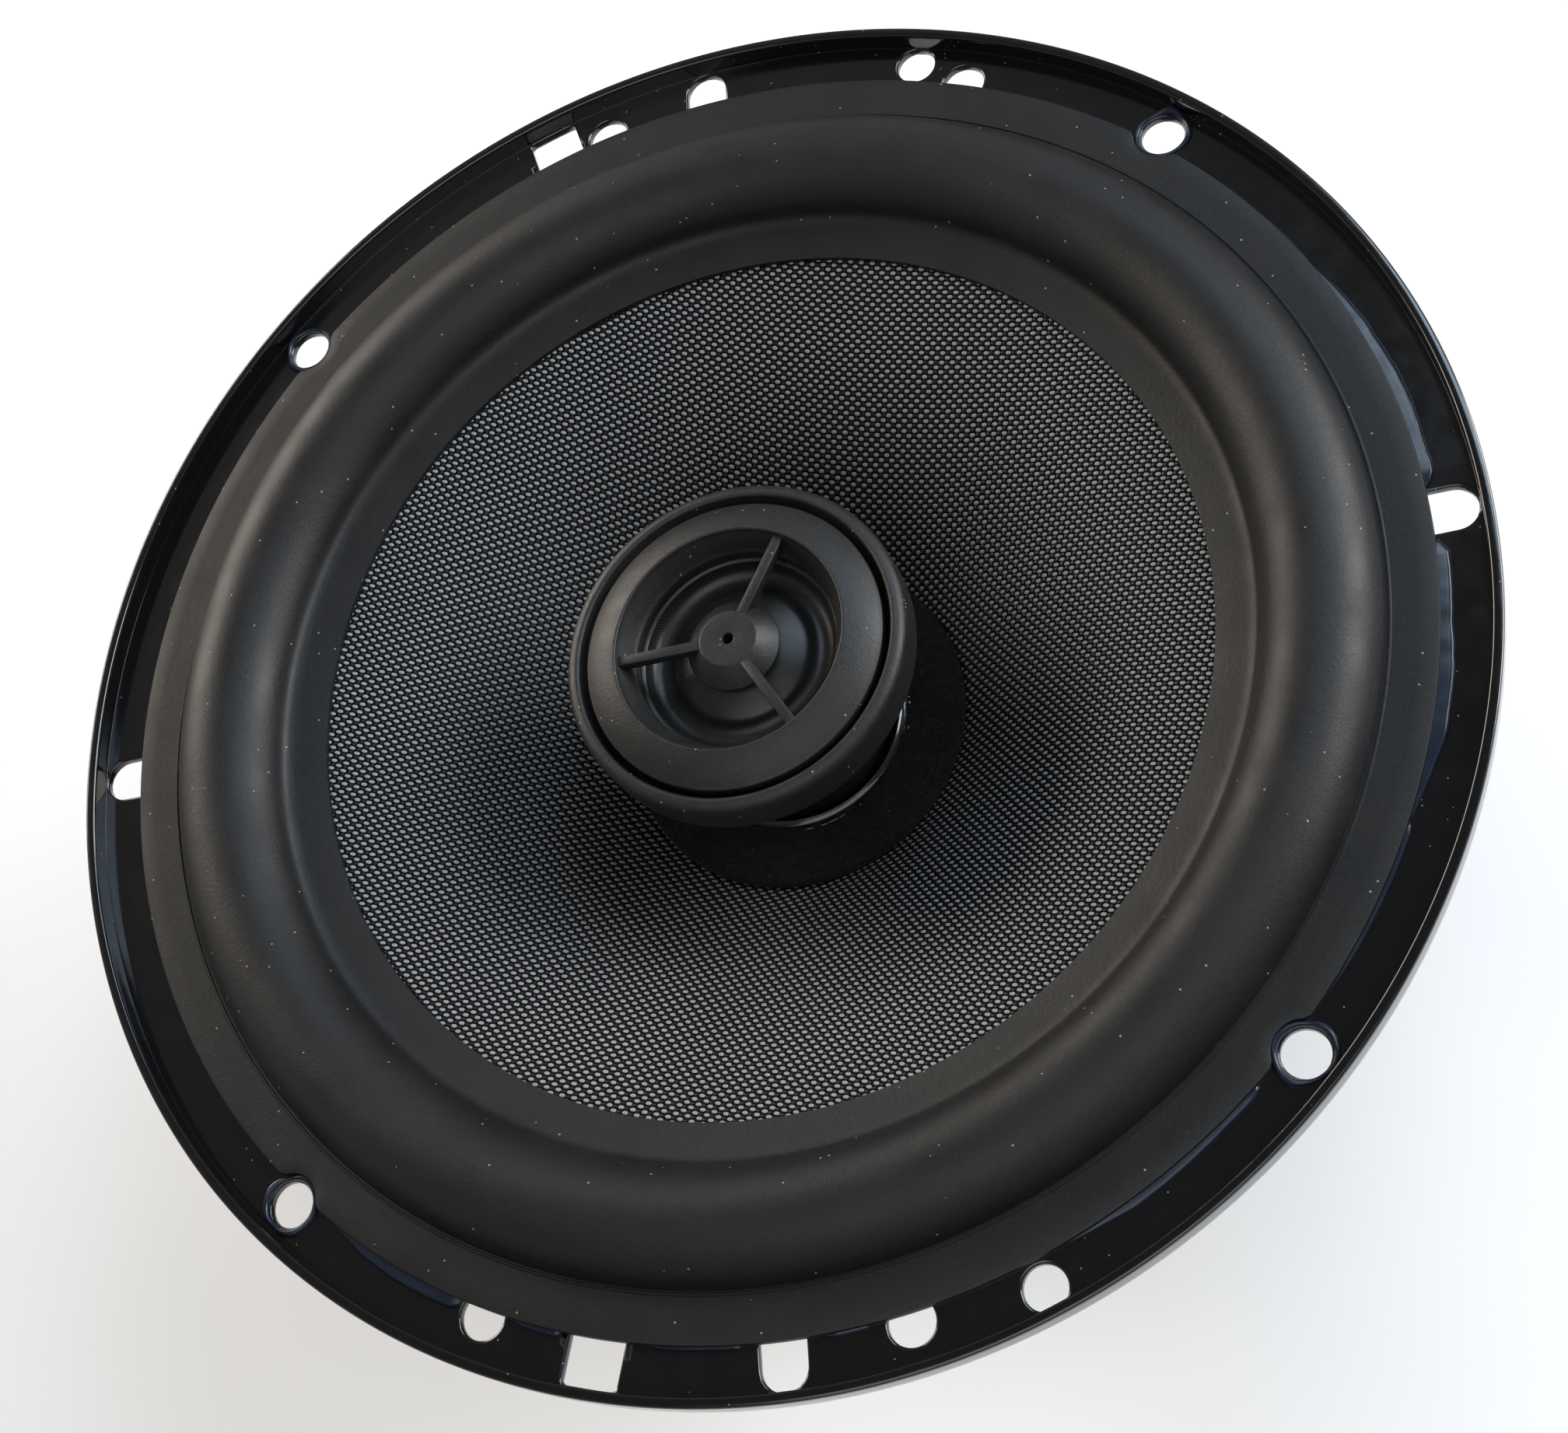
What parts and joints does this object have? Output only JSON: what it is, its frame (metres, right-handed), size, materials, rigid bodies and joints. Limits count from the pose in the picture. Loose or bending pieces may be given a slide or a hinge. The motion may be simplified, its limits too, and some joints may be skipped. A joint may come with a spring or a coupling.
{
  "type": "coaxial car speaker",
  "caption": "Round coaxial car speaker with a pressed basket, woven cone in a rubber half-roll surround, post-mounted dome tweeter and ferrite magnet.",
  "frame": {"origin": "centre of the screw-hole circle, on the rear (mounting) face of the flange", "axes": "+Z along the speaker axis towards the listener; +X through a U-shaped slot of the flange, opposite the terminal board"},
  "size_m": [0.165, 0.165, 0.0693],
  "materials": {
    "basket_paint": "glossy black paint on pressed steel",
    "plate_steel": "black-plated steel plate",
    "ferrite": "ground ferrite",
    "rivet_steel": "zinc-plated steel",
    "post_metal": "turned aluminium",
    "tweeter_plastic": "satin black moulded plastic",
    "sleeve_plastic": "glossy black moulded plastic",
    "nickel": "nickel-plated",
    "board": "brown phenolic paper board",
    "tinned_brass": "tin-plated brass",
    "capacitor_sleeve": "shrink sleeve",
    "tinned_wire": "tinned copper wire",
    "red_insulation": "soft PVC insulation",
    "black_insulation": "soft PVC insulation",
    "copper": "enamelled copper wire",
    "coil_foil": "aluminium foil former",
    "cone_weave": "black and grey woven glass-fibre cone",
    "surround_rubber": "satin black rubber",
    "felt": "black wool felt",
    "spider_cloth": "resin-stiffened cotton",
    "tinsel": "braided copper tinsel",
    "dome_fabric": "coated fine-woven fabric"
  },
  "bodies": {
    "frame": {"basket": "basket_paint", "basket_rivets": "rivet_steel", "top_plate": "plate_steel", "ferrite_magnet": "ferrite", "pole_yoke": "plate_steel", "tweeter_post": "post_metal", "post_sleeve": "sleeve_plastic", "post_nut": "rivet_steel", "tweeter_housing": "tweeter_plastic", "tweeter_grille": "tweeter_plastic", "tweeter_cup": "nickel", "tweeter_magnet": "nickel", "tweeter_pole_piece": "rivet_steel", "diaphragm_ring": "tweeter_plastic", "tweeter_wire_positive": "red_insulation", "tweeter_wire_negative": "black_insulation", "terminal_board": "board", "terminal_positive": "tinned_brass", "terminal_negative": "tinned_brass", "terminal_rivets": "tinned_brass", "capacitor": "capacitor_sleeve", "capacitor_leads": "tinned_wire"},
    "cone_assembly": {"cone": "cone_weave", "surround": "surround_rubber", "dust_ring": "felt", "voice_coil_former": "coil_foil", "voice_coil_winding": "copper", "spider": "spider_cloth", "tinsel_lead_positive": "tinsel", "tinsel_lead_negative": "tinsel"},
    "tweeter_dome": {"tweeter_diaphragm": "dome_fabric", "tweeter_coil_former": "coil_foil", "tweeter_coil_winding": "copper"}
  },
  "joints": [
    {"name": "cone_travel", "type": "slide", "parent": "frame", "child": "cone_assembly", "axis": [0, 0, 1], "range_m": [-0.004, 0.004], "stiffness_N_per_m": 2000, "deforming": ["surround", "spider", "tinsel_lead_positive", "tinsel_lead_negative"]},
    {"name": "tweeter_travel", "type": "slide", "parent": "frame", "child": "tweeter_dome", "axis": [0, 0, 1], "range_m": [-0.0003, 0.0003], "stiffness_N_per_m": 1000, "deforming": ["tweeter_diaphragm"]}
  ]
}
